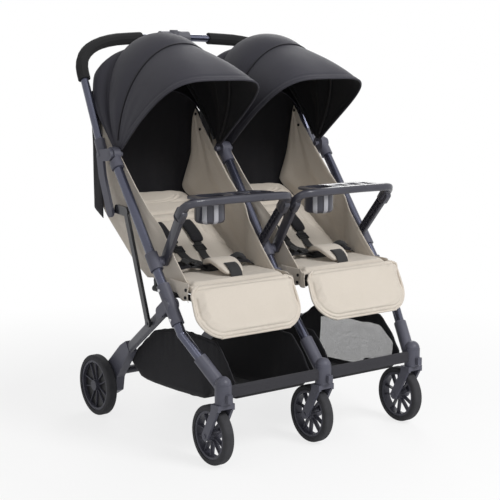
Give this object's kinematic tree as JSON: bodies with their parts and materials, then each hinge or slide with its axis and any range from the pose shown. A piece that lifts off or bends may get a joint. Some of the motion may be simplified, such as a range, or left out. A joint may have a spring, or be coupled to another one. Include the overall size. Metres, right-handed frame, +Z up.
{
  "type": "side by side double stroller",
  "caption": "Side by side double stroller with padded reclining seats, folding canopies, child trays, under-seat baskets, swivel casters and a push bar that folds the frame.",
  "frame": {"origin": "middle of the overall box on the floor", "axes": "+X across to the right side seen from the front, -Y to the front, +Z up"},
  "size_m": [0.7494, 0.739, 1.0743],
  "materials": {
    "painted_tube": "satin blue-grey",
    "frame_plastic": "fine matte",
    "wheel_plastic": "matte",
    "grey_plastic": "satin",
    "bare_steel": "plain",
    "tyre_rubber": "matte",
    "foam": "soft foam",
    "black_frame": "matte",
    "beige_fabric": "woven melange",
    "charcoal_fabric": "woven melange",
    "black_fabric": "woven",
    "webbing": "webbing"
  },
  "bodies": {
    "chassis": {"front_tubes": "painted_tube", "leg_sleeves": "frame_plastic", "frame_hubs": "frame_plastic", "caster_housings": "frame_plastic", "front_bars": "painted_tube", "seat_frames": "black_frame", "tray_brackets": "frame_plastic", "frame_rivets": "bare_steel", "baskets": "black_fabric", "seat_pad_left": "beige_fabric", "seat_pad_right": "beige_fabric", "seat_wings": "beige_fabric", "rear_screens": "black_fabric", "waist_straps": "webbing", "crotch_pads": "beige_fabric", "buckles": "black_frame", "canopy_backs": "charcoal_fabric"},
    "handle": {"push_bar": "painted_tube", "grips": "foam", "fold_housing": "grey_plastic", "handle_levers": "frame_plastic"},
    "fold_button": {"fold_button": "grey_plastic"},
    "rear_frame": {"rear_legs": "painted_tube", "rear_brackets": "frame_plastic", "rear_axles": "bare_steel"},
    "struts": {"fold_struts": "painted_tube"},
    "brake": {"brake_pedal": "frame_plastic"},
    "rear_wheel_left": {"rear_wheel_left": "wheel_plastic", "rear_tyre_left": "tyre_rubber"},
    "caster_left": {"caster_fork_left": "frame_plastic"},
    "front_wheel_left": {"front_wheel_left": "wheel_plastic", "front_tyre_left": "tyre_rubber"},
    "swivel_lock_left": {"swivel_lock_left": "frame_plastic"},
    "rear_wheel_mid": {"rear_wheel_mid": "wheel_plastic", "rear_tyre_mid": "tyre_rubber"},
    "caster_mid": {"caster_fork_mid": "frame_plastic"},
    "front_wheel_mid": {"front_wheel_mid": "wheel_plastic", "front_tyre_mid": "tyre_rubber"},
    "swivel_lock_mid": {"swivel_lock_mid": "frame_plastic"},
    "rear_wheel_right": {"rear_wheel_right": "wheel_plastic", "rear_tyre_right": "tyre_rubber"},
    "caster_right": {"caster_fork_right": "frame_plastic"},
    "front_wheel_right": {"front_wheel_right": "wheel_plastic", "front_tyre_right": "tyre_rubber"},
    "swivel_lock_right": {"swivel_lock_right": "frame_plastic"},
    "canopy_mid_left": {"canopy_mid_left": "charcoal_fabric"},
    "canopy_visor_left": {"canopy_visor_left": "charcoal_fabric"},
    "backrest_left": {"backrest_left": "beige_fabric", "shoulder_straps_left": "webbing"},
    "leg_rest_left": {"leg_rest_left": "beige_fabric"},
    "tray_left": {"tray_left": "frame_plastic"},
    "buckle_button_left": {"buckle_button_left": "grey_plastic"},
    "canopy_mid_right": {"canopy_mid_right": "charcoal_fabric"},
    "canopy_visor_right": {"canopy_visor_right": "charcoal_fabric"},
    "backrest_right": {"backrest_right": "beige_fabric", "shoulder_straps_right": "webbing"},
    "leg_rest_right": {"leg_rest_right": "beige_fabric"},
    "tray_right": {"tray_right": "frame_plastic"},
    "buckle_button_right": {"buckle_button_right": "grey_plastic"}
  },
  "joints": [
    {"name": "handle_fold", "type": "hinge", "parent": "chassis", "child": "handle", "pos_m": [0, 0.1035, 0.746], "axis": [1, 0, 0], "range_deg": [0, 135]},
    {"name": "rear_leg_fold", "type": "hinge", "parent": "chassis", "child": "rear_frame", "pos_m": [0, -0.13956, 0.36623], "axis": [1, 0, 0], "range_deg": [-66, 0]},
    {"name": "strut_fold", "type": "hinge", "parent": "rear_frame", "child": "struts", "pos_m": [0, -0.06142, 0.32081], "axis": [1, 0, 0], "range_deg": [0, 36]},
    {"name": "fold_button_press", "type": "slide", "parent": "handle", "child": "fold_button", "axis": [0, 0, 1], "range_m": [-0.003, 0], "stiffness_N_per_m": 400},
    {"name": "brake_press", "type": "hinge", "parent": "rear_frame", "child": "brake", "pos_m": [0, 0.1995, 0.1315], "axis": [1, 0, 0], "range_deg": [-20, 0]},
    {"name": "rear_wheel_left_roll", "type": "hinge", "parent": "rear_frame", "child": "rear_wheel_left", "pos_m": [-0.327, 0.2565, 0.0855], "axis": [1, 0, 0], "continuous": true},
    {"name": "caster_left_swivel", "type": "hinge", "parent": "chassis", "child": "caster_left", "pos_m": [-0.316, -0.3385, 0.18], "axis": [0, 0, 1], "continuous": true},
    {"name": "front_wheel_left_roll", "type": "hinge", "parent": "caster_left", "child": "front_wheel_left", "pos_m": [-0.316, -0.2935, 0.076], "axis": [1, 0, 0], "continuous": true},
    {"name": "swivel_lock_left_slide", "type": "slide", "parent": "chassis", "child": "swivel_lock_left", "axis": [0, 0, 1], "range_m": [-0.005, 0]},
    {"name": "rear_wheel_mid_roll", "type": "hinge", "parent": "rear_frame", "child": "rear_wheel_mid", "pos_m": [0, 0.2565, 0.0855], "axis": [1, 0, 0], "continuous": true},
    {"name": "caster_mid_swivel", "type": "hinge", "parent": "chassis", "child": "caster_mid", "pos_m": [0, -0.3385, 0.18], "axis": [0, 0, 1], "continuous": true},
    {"name": "front_wheel_mid_roll", "type": "hinge", "parent": "caster_mid", "child": "front_wheel_mid", "pos_m": [0, -0.2935, 0.076], "axis": [1, 0, 0], "continuous": true},
    {"name": "swivel_lock_mid_slide", "type": "slide", "parent": "chassis", "child": "swivel_lock_mid", "axis": [0, 0, 1], "range_m": [-0.005, 0]},
    {"name": "rear_wheel_right_roll", "type": "hinge", "parent": "rear_frame", "child": "rear_wheel_right", "pos_m": [0.327, 0.2565, 0.0855], "axis": [1, 0, 0], "continuous": true},
    {"name": "caster_right_swivel", "type": "hinge", "parent": "chassis", "child": "caster_right", "pos_m": [0.316, -0.3385, 0.18], "axis": [0, 0, 1], "continuous": true},
    {"name": "front_wheel_right_roll", "type": "hinge", "parent": "caster_right", "child": "front_wheel_right", "pos_m": [0.316, -0.2935, 0.076], "axis": [1, 0, 0], "continuous": true},
    {"name": "swivel_lock_right_slide", "type": "slide", "parent": "chassis", "child": "swivel_lock_right", "axis": [0, 0, 1], "range_m": [-0.005, 0]},
    {"name": "canopy_left_fold", "type": "hinge", "parent": "chassis", "child": "canopy_visor_left", "pos_m": [-0.178, 0.1035, 0.746], "axis": [1, 0, 0], "range_deg": [-56, 0]},
    {"name": "canopy_left_mid_fold", "type": "hinge", "parent": "chassis", "child": "canopy_mid_left", "pos_m": [-0.178, 0.1035, 0.746], "axis": [1, 0, 0], "range_deg": [-36, 0]},
    {"name": "backrest_left_recline", "type": "hinge", "parent": "chassis", "child": "backrest_left", "pos_m": [-0.178, -0.0465, 0.4277], "axis": [1, 0, 0], "range_deg": [0, 40]},
    {"name": "leg_rest_left_lift", "type": "hinge", "parent": "chassis", "child": "leg_rest_left", "pos_m": [-0.178, -0.2305, 0.4257], "axis": [1, 0, 0], "range_deg": [-50, 0]},
    {"name": "tray_left_swing", "type": "hinge", "parent": "chassis", "child": "tray_left", "pos_m": [-0.178, -0.09385, 0.486], "axis": [1, 0, 0], "range_deg": [0, 50]},
    {"name": "buckle_button_left_press", "type": "slide", "parent": "chassis", "child": "buckle_button_left", "axis": [0, 0, 1], "range_m": [-0.003, 0], "stiffness_N_per_m": 300},
    {"name": "canopy_right_fold", "type": "hinge", "parent": "chassis", "child": "canopy_visor_right", "pos_m": [0.178, 0.1035, 0.746], "axis": [1, 0, 0], "range_deg": [-56, 0]},
    {"name": "canopy_right_mid_fold", "type": "hinge", "parent": "chassis", "child": "canopy_mid_right", "pos_m": [0.178, 0.1035, 0.746], "axis": [1, 0, 0], "range_deg": [-36, 0]},
    {"name": "backrest_right_recline", "type": "hinge", "parent": "chassis", "child": "backrest_right", "pos_m": [0.178, -0.0465, 0.4277], "axis": [1, 0, 0], "range_deg": [0, 40]},
    {"name": "leg_rest_right_lift", "type": "hinge", "parent": "chassis", "child": "leg_rest_right", "pos_m": [0.178, -0.2305, 0.4257], "axis": [1, 0, 0], "range_deg": [-50, 0]},
    {"name": "tray_right_swing", "type": "hinge", "parent": "chassis", "child": "tray_right", "pos_m": [0.178, -0.09385, 0.486], "axis": [1, 0, 0], "range_deg": [0, 50]},
    {"name": "buckle_button_right_press", "type": "slide", "parent": "chassis", "child": "buckle_button_right", "axis": [0, 0, 1], "range_m": [-0.003, 0], "stiffness_N_per_m": 300}
  ],
  "couplings": [
    {"joint": "rear_leg_fold", "follows": "handle_fold", "ratio": -0.48889},
    {"joint": "strut_fold", "follows": "handle_fold", "ratio": 0.26667},
    {"joint": "canopy_left_mid_fold", "follows": "canopy_left_fold", "ratio": 0.64286},
    {"joint": "canopy_right_mid_fold", "follows": "canopy_right_fold", "ratio": 0.64286}
  ]
}
